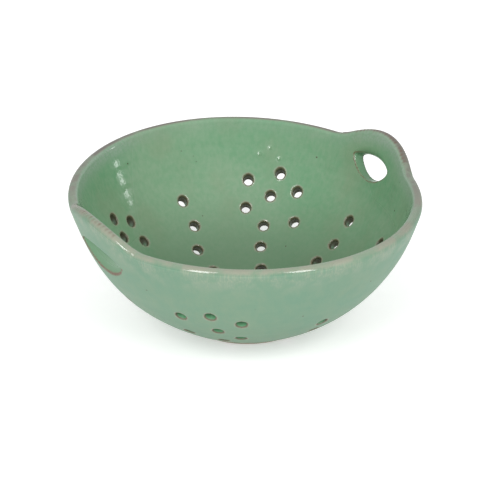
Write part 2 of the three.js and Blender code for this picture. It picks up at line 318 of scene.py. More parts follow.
def wall_place(radius, height):
    """Signed distance outwards from the middle of the wall, and length along it."""
    x = np.clip(radius / TABLE_STEP, 0, TABLE_ACROSS.shape[0] - LAST_CELL)
    y = np.clip((height - TABLE_HEIGHTS[0]) / TABLE_STEP, 0, TABLE_ACROSS.shape[1] - LAST_CELL)
    i = x.astype(int)
    j = y.astype(int)
    x = x - i
    y = y - j

    def sample(table):
        low = table[i, j] * (1 - x) + table[i + 1, j] * x
        high = table[i, j + 1] * (1 - x) + table[i + 1, j + 1] * x
        return low * (1 - y) + high * y

    return sample(TABLE_ACROSS), sample(TABLE_ALONG)


def alter_shifts(azimuth, height):
    """How far the altering moves the rim outwards and up."""
    share = smoothstep(ALTER_START, RIM_HEIGHT, height)
    aside = np.cos(turned_by(azimuth, DRIFT_AZIMUTH))
    across = np.cos(2 * turned_by(azimuth, OVAL_AZIMUTH))
    front = np.maximum(np.cos(turned_by(azimuth, FRONT_AZIMUTH)), 0)
    lift = TILT * aside - SADDLE * np.cos(2 * azimuth) + FRONT_LIFT * front ** FRONT_NARROWING
    return share * (DRIFT * aside - OVAL * across), share * lift


def upright(radius, azimuth, height):
    """Point at a radius, an azimuth in radians and a height."""
    return np.array([radius * math.cos(azimuth), radius * math.sin(azimuth), height])


def altered_point(azimuth, radius, height):
    """Point that was at an azimuth in degrees, a radius and a height before the rim was altered."""
    way = np.array([math.radians(azimuth)])
    out, up = alter_shifts(way, np.array([height]))
    return upright(radius + out[0], way[0], height + up[0])


def inner_radius(height):
    return np.interp(height, INNER[:, 1], INNER[:, 0])


def unaltered(points):
    """Azimuth, radius and height that points had before the rim was altered."""
    azimuth = np.arctan2(points[:, 1], points[:, 0])
    height = points[:, 2]
    for _ in range(ALTER_ROUNDS):
        out, up = alter_shifts(azimuth, height)
        height = points[:, 2] - up
    return azimuth, np.hypot(points[:, 0], points[:, 1]) - out, height


def wall_end(azimuth):
    """Length along the wall where its lip begins, and the slope of the rim there."""
    rise = np.full_like(azimuth, -HANDLE_RISE)
    slope = np.zeros_like(azimuth)
    for handle in HANDLES:
        share = turned_by(azimuth, handle["azimuth"]) * RIM_RADIUS / (HANDLE_LENGTH / 2)
        bow = math.pi / 2 * np.clip(share, -2, 2)
        rise = np.maximum(rise, HANDLE_RISE * np.cos(bow))
        near = np.abs(share) < 1
        slope[near] = (HANDLE_RISE * np.sin(bow) * math.pi / HANDLE_LENGTH)[near]
    lobe = smooth_max(rise, 0 * rise, ROOT_BLEND)
    return RIM_END + lobe / math.cos(math.radians(RIM_LEAN)), slope


def coggle(azimuth, across, past_end):
    """Share of a coggled mark at places on the lip, from 0 to 1."""
    shoulder = np.arctan2(past_end, -across)
    marks = np.zeros_like(azimuth)
    for handle in HANDLES:
        down = (shoulder - math.radians(handle["mark_shoulder"])) * WALL / 2
        round_rim = turned_by(azimuth, handle["azimuth"]) * RIM_RADIUS
        beside = (round_rim + MARK_PITCH / 2) % MARK_PITCH - MARK_PITCH / 2
        spot = np.exp(-(beside / MARK_WIDTH) ** 2 / 2 - (down / MARK_LENGTH) ** 2 / 2)
        first, last = handle["marks"]
        spot *= smoothstep(first - MARK_FADE, first, round_rim)
        marks += spot * smoothstep(last + MARK_FADE, last, round_rim)
    return marks


def throwing(azimuth, along, across):
    """Low spiral ridges and the slight waver that the hand leaves on the wall."""
    ridges = np.sin(2 * np.pi * along / RING_PITCH + azimuth)
    ridges += 0.5 * np.sin(2 * np.pi * along / (CROSS_PITCH * RING_PITCH) - 2 * azimuth + 1)
    waver = np.sin(3 * azimuth + along / WAVER_LENGTHS[0])
    waver += np.sin(5 * azimuth - along / WAVER_LENGTHS[1] + 2)
    fade = smoothstep(*THROWN_FROM, along) * smoothstep(RIM_END, RIM_END - THROWN_FADE, along)
    inside = smoothstep(-1, 1, -across)
    return fade * (RING_HEIGHT * ridges * (0.5 + 0.5 * inside) + WAVER / 2 * waver)


def bowed(share):
    """Bow of a slot's edge, 1 in its middle and 0 at its ends, and how steep it is."""
    left = 1 - share ** 2
    bow = np.sign(left) * np.abs(left) ** SLOT_BOW
    steep = 2 * SLOT_BOW * np.abs(share) * np.maximum(np.abs(left), BLUNT_END) ** (SLOT_BOW - 1)
    return bow, steep


def slot_field(handle, azimuth, across, height):
    """Distance outside the finger slot of a handle, and how far a place is on the strap's side of it."""
    half = handle["length"] / 2 - handle["taper"] * np.clip(across / WALL, -1, 1)
    share = (turned_by(azimuth, handle["azimuth"]) * RIM_RADIUS - handle["shift"]) / half
    share = np.clip(share, -SLOT_SPAN, SLOT_SPAN)
    bow, steep = bowed(share)
    corner = RIM_HEIGHT - handle["drop"] + handle["tilt"] * share
    sill = corner - handle["depth"] * bow - height - handle["sill_fall"] * across / WALL
    strap = height + STRAP_FALL * across / WALL - corner - handle["rise"] * bow
    sill /= np.hypot(1, np.minimum(handle["depth"] * steep / half, STEEPEST))
    strap /= np.hypot(1, np.minimum(handle["rise"] * steep / half, STEEPEST))
    under_strap = smoothstep(-UNDER_FADE, UNDER_FADE, strap - sill) * np.clip(bow, 0, 1)
    return smooth_max(sill, strap, SLOT_CORNER), under_strap


def petal_places(daisy):
    """Azimuth and height of the petals of a daisy, laid out on the inner face of the wall."""
    slope = np.interp(daisy["height"], MIDDLE[1:, 1], np.diff(MIDDLE[:, 0]) / np.diff(MIDDLE[:, 1]))
    places = []
    for i, (stray_round, stray_up) in enumerate(daisy["strays"]):
        angle = math.radians(daisy["turn"] + i * 360 / PETALS)
        height = daisy["height"] + (PETAL_RADIUS * math.cos(angle) + stray_up) / math.hypot(1, slope)
        round_wall = PETAL_RADIUS * math.sin(angle) + stray_round
        places.append((daisy["azimuth"] + math.degrees(round_wall / inner_radius(height)), height))
    return places


def punches():
    """Middle and direction of every drain hole."""
    places = [place for row in ROWS for place in row]
    for daisy in DAISIES:
        places += [(daisy["azimuth"], daisy["height"]), *daisy["stem"], *petal_places(daisy)]
    steep = math.radians(PUNCH_ANGLE)
    found = []
    for azimuth, height in places:
        direction = upright(math.cos(steep), math.radians(azimuth), -math.sin(steep))
        mouth = altered_point(azimuth, inner_radius(height), height)
        found.append((mouth + direction * WALL / 2, direction))
    down = np.array([0, 0, -1.0])
    middle = BASE_HEIGHT + FLOOR / 2
    found.append((upright(0, 0, middle), down))
    for i in range(PETALS):
        found.append((upright(PETAL_RADIUS, 2 * math.pi * i / PETALS, middle), down))
    return found


PUNCHES = punches()
DROP_PLACES = [altered_point(azimuth, inner_radius(height), height) for azimuth, height in DROPS]


def drop_rise(points):
    """How far the drops of glaze stand out of the wall."""
    rise = np.zeros(len(points))
    for middle in DROP_PLACES:
        rise += DROP_HEIGHT * np.exp(-((points - middle) ** 2).sum(axis=1) / (2 * DROP_SIZE ** 2))
    return rise


def hole_gap(points):
    """Distance of points outside the bore of the nearest drain hole."""
    gap = np.full(len(points), PUNCH_REACH)
    for middle, direction in PUNCHES:
        offset = points - middle
        span = (offset ** 2).sum(axis=1)
        here = span < PUNCH_REACH ** 2
        ahead = offset[here] @ direction
        bore = np.sqrt(np.maximum(span[here] - ahead ** 2, 0)) - HOLE_RADIUS
        gap[here] = np.minimum(gap[here], bore)
    return gap


def clay(points):
    """Signed distance outside the clay of the bowl with its straps, without the foot ring."""
    azimuth, radius, height = unaltered(points)
    across, along = wall_place(radius, height)
    end, slope = wall_end(azimuth)
    past_end = np.maximum(along - end, 0) / np.hypot(1, slope)
    wall = np.hypot(across, past_end) - WALL / 2
    wall -= throwing(azimuth, along, across)
    body = np.maximum(wall, BASE_HEIGHT - height)
    near = np.abs(wall) < WALL
    body[near] += MARK_DEPTH * coggle(azimuth[near], across[near], past_end[near])
    body[near] -= drop_rise(points[near])
    for handle in HANDLES:
        slot, under_strap = slot_field(handle, azimuth, across, height)
        body = smooth_max(body, -slot, SILL_EDGE + (STRAP_EDGE - SILL_EDGE) * under_strap)
    near = np.flatnonzero(np.abs(body) < 2 * HOLE_RADIUS)
    body[near] = smooth_max(body[near], -hole_gap(points[near]), HOLE_EDGE)
    return body


def surface_net(field, low, high, step):
    """Vertices and quads of the zero surface of a field, one vertex in each grid cell that it crosses."""
    axes = [np.arange(low[i], high[i] + step, step) for i in range(3)]
    shape = tuple(len(a) for a in axes)
    grid = np.stack(np.meshgrid(*axes, indexing="ij"), axis=-1)
    values = field(grid.reshape(-1, 3)).reshape(shape)
    solid = values < 0
    cells = tuple(n - 1 for n in shape)
    total = np.zeros(cells + (3,))
    count = np.zeros(cells, int)
    corners = [np.array([a, b, c]) for a in (0, 1) for b in (0, 1) for c in (0, 1)]

    def at(array, corner):
        return array[tuple(slice(c, c + n) for c, n in zip(corner, cells))]

    for a in corners:
        for axis in range(3):
            if a[axis]:
                continue
            b = a.copy()
            b[axis] = 1
            crossed = at(solid, a) != at(solid, b)
            va = at(values, a)[crossed]
            vb = at(values, b)[crossed]
            place = np.repeat(a[None].astype(float), crossed.sum(), axis=0)
            place[:, axis] = va / (va - vb)
            total[crossed] += place
            count[crossed] += 1
    filled = count > 0
    index = np.full(cells, -1)
    index[filled] = np.arange(filled.sum())
    origin = np.array([a[0] for a in axes])
    vertices = origin + step * (np.argwhere(filled) + total[filled] / count[filled][:, None])
    quads = []
    for axis in range(3):
        b, c = (axis + 1) % 3, (axis + 2) % 3
        first = np.moveaxis(solid, axis, 0)[:-1]
        second = np.moveaxis(solid, axis, 0)[1:]
        for leaving in (True, False):
            crossing = np.moveaxis(first & ~second if leaving else ~first & second, 0, axis)
            at_edge = np.argwhere(crossing)
            inner = (at_edge[:, b] > 0) & (at_edge[:, c] > 0)
            inner &= (at_edge[:, b] < cells[b]) & (at_edge[:, c] < cells[c])
            at_edge = at_edge[inner]
            ring = []
            for db, dc in ((1, 1), (0, 1), (0, 0), (1, 0)):
                cell = at_edge.copy()
                cell[:, b] -= db
                cell[:, c] -= dc
                ring.append(index[tuple(cell.T)])
            quad = np.stack(ring, axis=1)
            quads.append(quad if leaving else quad[:, ::-1])
    return vertices, np.vstack(quads)


def slopes(points):
    """Gradient of the clay field at points, and its curvature there, positive where it is convex."""
    gradient = np.empty_like(points)
    bend = np.zeros(len(points))
    for axis in range(3):
        probe = np.zeros(3)
        probe[axis] = PROBE
        ahead = clay(points + probe)
        behind = clay(points - probe)
        gradient[:, axis] = (ahead - behind) / (2 * PROBE)
        bend += ahead + behind
    return gradient, (bend - 6 * clay(points)) / PROBE ** 2


def onto_clay(points, rounds=3):
    """Points moved onto the surface of the clay."""
    for _ in range(rounds):
        gradient, _ = slopes(points)
        steep = np.maximum((gradient ** 2).sum(axis=1), LEAST_SLOPE)
        step = clay(points) / steep
        points = points - np.clip(step, -LONGEST_MOVE, LONGEST_MOVE)[:, None] * gradient
    return points


def eased(points, edges, share):
    """Points moved a share of the way to the mean of their neighbours."""
    total = np.zeros_like(points)
    count = np.zeros(len(points))
    for a, b in ((0, 1), (1, 0)):
        np.add.at(total, edges[:, a], points[edges[:, b]])
        np.add.at(count, edges[:, a], 1)
    return points + share * (total / count[:, None] - points)


def mesh_edges(mesh):
    pairs = np.empty(len(mesh.edges) * 2, int)
    mesh.edges.foreach_get("vertices", pairs)
    return pairs.reshape(-1, 2)


def mesh_points(mesh):
    flat = np.empty(len(mesh.vertices) * 3)
    mesh.vertices.foreach_get("co", flat)
    return flat.reshape(-1, 3)


def set_points(mesh, points):
    mesh.vertices.foreach_set("co", points.ravel())
    mesh.update()


def clay_mesh():
    """Closed mesh of the bowl with its straps, in millimetres, finer where the clay bends sharply."""
    low, high = (np.array(corner) / MM for corner in CAD_BOX)
    margin = 2 * GRID_STEP
    vertices, quads = surface_net(clay, low - margin, high + margin, GRID_STEP)
    mesh = bpy.data.meshes.new("clay")
    mesh.from_pydata(vertices.tolist(), [], quads.tolist())
    points = onto_clay(mesh_points(mesh))
    for share in COARSE_EASING:
        points = onto_clay(eased(points, mesh_edges(mesh), share), 1)
    set_points(mesh, points)
    _, bend = slopes(points)
    sharp = np.abs(bend) > FINE_CURVATURE
    picked = sharp[mesh_edges(mesh)].any(axis=1)
    form = bmesh.new()
    form.from_mesh(mesh)
    form.edges.ensure_lookup_table()
    fine = [form.edges[i] for i in np.flatnonzero(picked)]
    bmesh.ops.subdivide_edges(form, edges=fine, cuts=1, use_grid_fill=True)
    bmesh.ops.triangulate(form, faces=[f for f in form.faces if len(f.verts) > 4])
    form.to_mesh(mesh)
    form.free()
    points = onto_clay(mesh_points(mesh), 2)
    for share in FINE_EASING:
        points = onto_clay(eased(points, mesh_edges(mesh), share), 1)
    set_points(mesh, points)
    return mesh


def on_clay_wall(azimuth, across, height):
    """Point of the altered wall at an azimuth in degrees and a height, across its middle line."""
    radius = np.interp(height, MIDDLE[:, 1], MIDDLE[:, 0])
    return Vector(altered_point(azimuth, radius + across, height))


def slot_end(handle, side, across):
    """Turn from the middle of a handle, and height, of a place just inside an end of its slot."""
    opening = handle["rise"] + handle["depth"]
    bow = (STRAP_FALL - handle["sill_fall"]) * across / WALL / opening + END_BOW
    share = side * math.sqrt(1 - math.copysign(abs(bow) ** (1 / SLOT_BOW), bow))
    half = handle["length"] / 2 - handle["taper"] * across / WALL
    turn = math.degrees((handle["shift"] + share * half) / RIM_RADIUS)
    height = RIM_HEIGHT - handle["drop"] + handle["tilt"] * share
    height += (handle["rise"] - handle["depth"]) / 2 * bow
    height -= (STRAP_FALL + handle["sill_fall"]) / 2 * across / WALL
    return turn, height


def seam_planes(handle):
    """Planes of the two seams of a strap, each from an end of the slot to the root at the rim."""
    planes = []
    for side in (-1, 1):
        ends = []
        turns = [side * math.degrees(HANDLE_LENGTH / 2 / RIM_RADIUS)]
        for across in (-WALL / 2, WALL / 2):
            turn, height = slot_end(handle, side, across)
            turns.append(turn)
            ends.append(on_clay_wall(handle["azimuth"] + turn, across, height))
        root = on_clay_wall(handle["azimuth"] + turns[0], 0, RIM_HEIGHT)
        normal = (root - ends[0]).cross(ends[1] - ends[0]).normalized()
        if normal.z < 0:
            normal.negate()
        margins = (SEAM_START, SEAM_PAST) if side > 0 else (SEAM_PAST, SEAM_START)
        planes.append((root, normal, min(turns) - margins[0], max(turns) + margins[1]))
    return planes


def cut_strap(form, handle):
    """Faces of a strap, after the clay has been cut along the strap's two seams."""
    seams = set()
    for root, normal, first, last in seam_planes(handle):
        beside = []
        for face in form.faces:
            middle = face.calc_center_median()
            turn = math.degrees(turned_by(math.atan2(middle.y, middle.x), handle["azimuth"]))
            if first < turn < last and middle.z > ALTER_START:
                beside.append(face)
        pieces = set(beside)
        for face in beside:
            pieces.update(face.edges)
            pieces.update(face.verts)
        cut = bmesh.ops.bisect_plane(
            form, geom=list(pieces), plane_co=root, plane_no=normal, dist=SEAM_MERGE,
        )
        seams.update(e for e in cut["geom_cut"] if isinstance(e, bmesh.types.BMEdge))
    top = on_clay_wall(handle["azimuth"], 0, RIM_HEIGHT + HANDLE_RISE)
    seed = min(form.faces, key=lambda face: (face.calc_center_median() - top).length_squared)
    strap = {seed}
    front = [seed]
    while front:
        face = front.pop()
        for edge in face.edges:
            if edge in seams:
                continue
            for other in edge.link_faces:
                if other not in strap:
                    strap.add(other)
                    front.append(other)
    return list(strap)


def close_seams(form):
    """Caps the open seams of a piece, and returns the caps."""
    rim = [edge for edge in form.edges if edge.is_boundary]
    caps = bmesh.ops.holes_fill(form, edges=rim, sides=0)["faces"]
    return bmesh.ops.triangulate(form, faces=caps)["faces"]


def split_clay(mesh):
    """The clay as separate pieces by name, still open at their seams."""
    form = bmesh.new()
    form.from_mesh(mesh)
    pieces = {}
    for handle in HANDLES:
        strap = cut_strap(form, handle)
        form.faces.index_update()
        kept = {face.index for face in strap}
        part = form.copy()
        rest = [face for face in part.faces if face.index not in kept]
        bmesh.ops.delete(part, geom=rest, context="FACES")
        bmesh.ops.delete(form, geom=strap, context="FACES")
        pieces[handle["name"]] = part
    pieces["bowl_body"] = form
    return pieces


def edge_line(gap):
    """Thin line along a cut edge, at a small distance outside the cut."""
    return smoothstep(*LINE_START, gap) * smoothstep(*LINE_STOP, gap)


def slot_glaze(azimuth, across, height):
    """Shares of the rust at the sills of the slots, and of the thin glaze on their cut faces."""
    sill = np.zeros(len(azimuth))
    cut = np.zeros(len(azimuth))
    for handle in HANDLES:
        slot, under_strap = slot_field(handle, azimuth, across, height)
        outer_edge = smoothstep(*SILL_FACE, slot) * smoothstep(*SILL_SKIN, WALL / 2 - across)
        sill += np.maximum(outer_edge, edge_line(slot)) * (1 - under_strap)
        cut = np.maximum(cut, smoothstep(*CUT_FACE, np.abs(slot)))
    return sill, cut


def glaze_attributes(mesh, points):
    """Writes what the glaze does at each vertex, and returns the vertex normals."""
    gradient, bend = slopes(points)
    normals = gradient / np.linalg.norm(gradient, axis=1, keepdims=True)
    azimuth, radius, height = unaltered(points)
    across, along = wall_place(radius, height)
    end, slope = wall_end(azimuth)
    past_end = np.maximum(along - end, 0) / np.hypot(1, slope)
    shoulder = np.degrees(np.arctan2(past_end, -across))
    gap = hole_gap(points)
    sill, cut = slot_glaze(azimuth, across, height)
    inside = smoothstep(*INNER_HALF, -across)
    lip = smoothstep(*AT_LIP, end - along)
    rim = np.exp(-np.maximum(end - along, 0) / RIM_FADE)
    up_facing = smoothstep(*FACING_UP, normals[:, 2])
    backward = np.cos(turned_by(azimuth, BACK_AZIMUTH))

    # Satin and gloss
    satin_top = SATIN_TOP + SATIN_RISE * smoothstep(*SATIN_BACK, backward)
    satin_top -= SATIN_DROP * smoothstep(*SATIN_CLEAR, np.cos(turned_by(azimuth, CLEAR_AZIMUTH)))
    even = 1 - smoothstep(*SHARP_EDGE, np.abs(bend))
    satin = inside * smoothstep(satin_top, satin_top - SATIN_FADE, height) * np.maximum(even, lip)
    past_gloss = smoothstep(*GLOSS_STOP, np.cos(turned_by(azimuth, GLOSS_AZIMUTH)))
    dull = np.maximum(smoothstep(*SATIN_SHOULDER, shoulder), past_gloss)
    satin = np.maximum(satin, (1 - inside) * SATIN_OUTSIDE * dull)
    satin *= 1 - smoothstep(*DROP_SHINE, drop_rise(points) / DROP_HEIGHT)

    # Bare clay on the lip, and towards the back rim partly painted shade
    bare_from = BARE_FROM + BARE_FROM_BACK * np.maximum(backward, 0) ** 2
    bare_and_shade = smoothstep(bare_from, bare_from + BARE_SPAN, shoulder)
    bare_and_shade *= np.clip(BARE_SHARE + BARE_AND_SHADE_BACK * backward, 0, 1)
    bare_and_shade *= 1 - BARE_LOSS * smoothstep(*OUTER_SHOULDER, shoulder)

    layers = {
        "inside": inside,
        "satin": satin,
        "rim": rim,
        "thin": smoothstep(*THIN_RIM, rim) * inside * (1 - THIN_LOSS * smoothstep(*THIN_BACK, backward)),
        "mark": np.clip(coggle(azimuth, across, past_end), 0, 1),
        "ring": np.clip(edge_line(gap) + sill, 0, 1),
        "halo": smoothstep(*HALO_START, gap) * smoothstep(*HALO_STOP, gap),
        # Painted shade: the glaze darker towards the bottom of the wall
        "low": smoothstep(*LOW_WALL_SHADE, along),
        "crest": lip * smoothstep(*CREST_INNER, shoulder) * smoothstep(*CREST_OUTER, shoulder),
        "bare_and_shade": bare_and_shade,
        # Brown bore walls, partly thin glaze over the clay and partly painted shade, and bright green
        # painted light on the up-facing walls of the outer holes
        "bore": smoothstep(*BORE_EDGE, gap) * (1 - up_facing * (1 - inside)),
        "lit_well": smoothstep(*LIT_WELL_EDGE, gap) * up_facing,
        "cut": cut,
    }
    for name, values in layers.items():
        attribute = mesh.attributes.new(name, "FLOAT", "POINT")
        attribute.data.foreach_set("value", values.astype(np.float32))
    return normals


def finish_piece(name, form):
    """Object of a clay piece in metres, with smooth shading that runs on over its seams."""
    caps = close_seams(form)
    form.faces.index_update()
    capped = [face.index for face in caps]
    mesh = bpy.data.meshes.new(name)
    form.to_mesh(mesh)
    form.free()
    points = mesh_points(mesh)
    normals = glaze_attributes(mesh, points)
    set_points(mesh, points * MM)
    mesh.polygons.foreach_set("use_smooth", np.ones(len(mesh.polygons), bool))
    corners = np.empty(len(mesh.loops), int)
    mesh.loops.foreach_get("vertex_index", corners)
    shading = normals[corners]
    for index in capped:
        face = mesh.polygons[index]
        shading[list(face.loop_indices)] = face.normal
    mesh.normals_split_custom_set(shading.tolist())
    piece = bpy.data.objects.new(name + "_glazed", mesh)
    bpy.context.scene.collection.objects.link(piece)
    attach(piece, "root")
    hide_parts(name)
    return piece


def foot_ring():
    """Low ring under the base, with softened edges at the face that it stands on."""
    bottom = [(math.sin(a), 1 - math.cos(a)) for a in np.linspace(0, math.pi / 2, FOOT_ROUND_STEPS)]
    outer = [(FOOT_RADIUS - FOOT_ROUND + FOOT_ROUND * x, FOOT_ROUND * z) for x, z in bottom]
    inner = [(FOOT_INNER + FOOT_ROUND - FOOT_ROUND * x, FOOT_ROUND * z) for x, z in bottom]
    section = inner[::-1] + outer + [(FOOT_TOP_RADIUS, FOOT_TOP), (FOOT_INNER, FOOT_TOP)]
    vertices = []
    for i in range(FOOT_STEPS):
        way = 2 * math.pi * i / FOOT_STEPS
        waves = [math.sin(times * way + start) / part for times, start, part in FOOT_WAVES]
        wander = FOOT_WANDER * sum(waves)
        for radius, height in section:
            vertices.append(upright(MM * (radius + wander), way, MM * height))
    count = len(section)
    faces = []
    for i in range(FOOT_STEPS):
        here = i * count
        ahead = (i + 1) % FOOT_STEPS * count
        for j in range(count):
            k = (j + 1) % count
            faces.append((here + j, ahead + j, ahead + k, here + k))
    mesh = bpy.data.meshes.new("foot_ring")
    mesh.from_pydata(vertices, [], faces)
    mesh.polygons.foreach_set("use_smooth", np.ones(len(mesh.polygons), bool))
    mesh.set_sharp_from_angle(angle=math.radians(FOOT_SHARP))
    ring = bpy.data.objects.new("foot_ring_wiped", mesh)
    bpy.context.scene.collection.objects.link(ring)
    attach(ring, "root")
    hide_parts("foot_ring")
    return ring


# Glaze colours, as linear light
DEEP_GREEN = (0.122, 0.285, 0.150, 1)
LIGHT_GREEN = (0.200, 0.325, 0.202, 1)
# Painted shade: darker green towards the bottom of the wall, inside and out
LOW_SHADE_GREEN = (0.092, 0.165, 0.092, 1)
# Painted light: bright green on the up-facing walls of the outer holes
LIT_WELL_GREEN = (0.075, 0.270, 0.120, 1)
BLUE_GREEN = (0.114, 0.234, 0.155, 1)
GREY_GREEN = (0.150, 0.246, 0.160, 1)
SAGE = (0.265, 0.345, 0.275, 1)
BEIGE = (0.270, 0.310, 0.205, 1)
ASH = (0.270, 0.300, 0.265, 1)
OLIVE = (0.190, 0.255, 0.150, 1)
BLUSH = (0.285, 0.282, 0.220, 1)
TAUPE = (0.138, 0.128, 0.111, 1)
PALE_PINK = (0.300, 0.265, 0.215, 1)
RUST = (0.130, 0.066, 0.038, 1)
# Brown of the iron specks, and of the bores, where it is partly painted shade
IRON_AND_SHADE_BROWN = (0.066, 0.066, 0.036, 1)
CUT_GREEN = (0.110, 0.230, 0.125, 1)
BUFF = (0.400, 0.370, 0.280, 1)
UMBER = (0.250, 0.200, 0.140, 1)

# Patterns of the glaze: scale per metre, detail, and the levels between which the noise is stepped
BROAD = dict(scale=24, detail=3, low=0.35, high=0.65)
CLOUD = dict(scale=110, detail=4, low=0.38, high=0.62)
MOTTLE = dict(scale=380, detail=3, low=0.35, high=0.65)
GRAIN = dict(scale=900, detail=2, low=0.35, high=0.65)
PATCH = dict(scale=42, detail=4, low=0.45, high=0.7, squash=0.5)
STREAK = dict(scale=600, detail=3, low=0.35, high=0.65, squash=0.1)
HAIRS = dict(scale=1400, detail=2, low=0.45, high=0.62, squash=0.12)
WIPING = dict(scale=160, detail=4, low=0.35, high=0.65)
SPECK_SCALE = 170.0
SPECK_SIZE = (0.11, 0.05)
SPECK_SHARE = (0.80, 0.95)

# How much of each pattern and colour shows, as weights, ends of smooth steps, or pairs of gain and base
INNER_TINT = (0.5, 0.25, 0.25)      # broad, streak, mottle
OUTER_TINT = (0.4, 0.25, 0.35)      # cloud, streak, broad
OLIVE_SHARE = 0.35
# Strength of the painted shade towards the bottom, inside and out
INNER_LOW_SHADE = 0.7
OUTER_LOW_SHADE = 0.6
OUTER_HALF = (1.0, 0.4)
RUN_RIM = (0.05, 0.8)
RUN_CLOUD = (0.6, 0.2)
RUN_SHARE = 0.6
VEIL_RIM = (0.0, 0.5)
VEIL_SHARE = 0.18
THIN_GRAIN = (0.4, 0.4)
CREST_CLOUD = (0.5, 0.3)
LIP_RIM = (0.70, 1.0)
LIP_CLOUD = (-0.8, 0.7)
HALO_GRAIN = (-0.6, 1.2)
HALO_SHARE = 0.7
MARK_MOTTLE = (0.5, 0.2)
SATIN_ROUGHNESS = (0.55, 0.07)
BORE_ROUGHNESS = 0.25
BUMP_STRENGTH = 0.03
BUMP_HEIGHT = 0.0004
WIPED_HEIGHTS = (0.0009, 0.0002)
WIPED_ROUGHNESS = 0.45


def put(tree, socket, value):
    """Links a socket to an input, or sets the input to a constant."""
    if isinstance(value, bpy.types.NodeSocket):
        tree.links.new(value, socket)
    else:
        socket.default_value = value


def stepped(tree, value, low, high):
    """Smooth step of a value from 0 at one level to 1 at another."""
    node = tree.nodes.new("ShaderNodeMapRange")
    node.interpolation_type = "SMOOTHSTEP"
    put(tree, node.inputs["Value"], value)
    put(tree, node.inputs["From Min"], low)
    put(tree, node.inputs["From Max"], high)
    return node.outputs["Result"]


def pattern(tree, place, scale, detail, low, high, squash=1):
    """Stepped noise, drawn out upwards where its places are squashed."""
    squeeze = tree.nodes.new("ShaderNodeVectorMath")
    squeeze.operation = "MULTIPLY"
    put(tree, squeeze.inputs[0], place)
    put(tree, squeeze.inputs[1], (1, 1, squash))
    node = tree.nodes.new("ShaderNodeTexNoise")
    put(tree, node.inputs["Vector"], squeeze.outputs["Vector"])
    put(tree, node.inputs["Scale"], scale)
    put(tree, node.inputs["Detail"], detail)
    return stepped(tree, node.outputs["Fac"], low, high)


def scaled(tree, value, gain, base=0.0):
    """Value times a gain, plus a base."""
    node = tree.nodes.new("ShaderNodeMath")
    node.operation = "MULTIPLY_ADD"
    put(tree, node.inputs[0], value)
    put(tree, node.inputs[1], gain)
    put(tree, node.inputs[2], base)
    return node.outputs["Value"]


def product(tree, value, *others):
    for other in others:
        value = scaled(tree, value, other)
    return value


def weighted(tree, values, weights):
    """Sum of values, each times its weight."""
    total = 0.0
    for value, weight in zip(values, weights):
        total = scaled(tree, value, weight, total)
    return total


def mixed(tree, share, first, second):
    """First colour, turned into the second by a share."""
    node = tree.nodes.new("ShaderNodeMix")
    node.data_type = "RGBA"
    put(tree, node.inputs["Factor"], share)
    # The node's colours share their names with its numbers, so they are found by place
    put(tree, node.inputs[6], first)
    put(tree, node.inputs[7], second)
    return node.outputs[2]


def layer(tree, name):
    node = tree.nodes.new("ShaderNodeAttribute")
    node.attribute_name = name
    return node.outputs["Fac"]


def specks(tree, place):
    """Share of small dark iron specks, scattered thinly."""
    node = tree.nodes.new("ShaderNodeTexVoronoi")
    put(tree, node.inputs["Vector"], place)
    put(tree, node.inputs["Scale"], SPECK_SCALE)
    spot = stepped(tree, node.outputs["Distance"], *SPECK_SIZE)
    split = tree.nodes.new("ShaderNodeSeparateColor")
    put(tree, split.inputs["Color"], node.outputs["Color"])
    return product(tree, spot, stepped(tree, split.outputs["Red"], *SPECK_SHARE))


def new_material(name):
    material = bpy.data.materials.new(name)
    material.use_nodes = True
    tree = material.node_tree
    place = tree.nodes.new("ShaderNodeTexCoord").outputs["Object"]
    return material, tree, tree.nodes["Principled BSDF"], place


